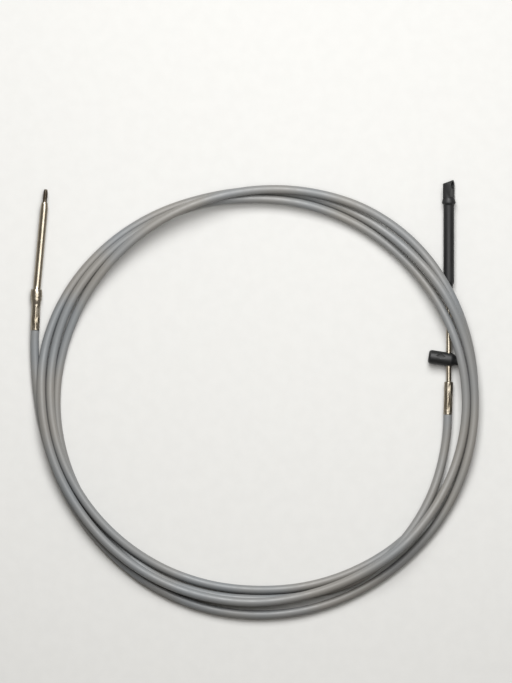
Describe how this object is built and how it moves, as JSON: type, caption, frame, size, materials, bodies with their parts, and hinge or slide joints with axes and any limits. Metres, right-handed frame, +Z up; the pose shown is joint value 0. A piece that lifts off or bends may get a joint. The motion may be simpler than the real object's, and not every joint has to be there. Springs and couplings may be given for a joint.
{
  "type": "throttle and shift cable",
  "caption": "Coiled push-pull control cable with a grey jacket, a swivelling steel sleeve and threaded rod at one end, and an anchor barrel and sliding black eye guide at the other.",
  "frame": {"origin": "middle of the whole cable's footprint, on the surface that it lies on", "axes": "+Z up from the surface; +Y along the support tube towards the eye; the coil's axis is vertical"},
  "size_m": [0.4122, 0.4038, 0.0271],
  "materials": {
    "jacket": "extruded polyethylene jacket, satin",
    "plated_steel": "crimped and threaded steel with a warm nickel plating",
    "stainless_steel": "drawn stainless tube, bright",
    "black_plastic": "moulded glass-filled nylon, satin",
    "seal_rubber": "moulded wiper seal, matt"
  },
  "bodies": {
    "root": {"conduit_jacket": "jacket", "input_hub": "plated_steel", "output_ferrule": "plated_steel", "support_tube": "stainless_steel", "anchor_barrel": "black_plastic"},
    "sleeve": {"input_sleeve": "stainless_steel"},
    "rod": {"input_rod": "plated_steel"},
    "guide": {"guide_seal": "seal_rubber", "casing_guide": "black_plastic"}
  },
  "joints": [
    {"name": "sleeve_swivel", "type": "hinge", "parent": "root", "child": "sleeve", "pos_m": [-0.20059, 0.09764, 0.0054], "axis": [0, 0, 1], "range_deg": [-5, 11]},
    {"name": "rod_slide", "type": "slide", "parent": "sleeve", "child": "rod", "axis": [0.0906, 0.9959, 0], "range_m": [0, 0.0508]},
    {"name": "guide_slide", "type": "slide", "parent": "root", "child": "guide", "axis": [0, -1, 0], "range_m": [0, 0.0508]}
  ],
  "couplings": [
    {"joint": "guide_slide", "follows": "rod_slide", "ratio": 1}
  ]
}
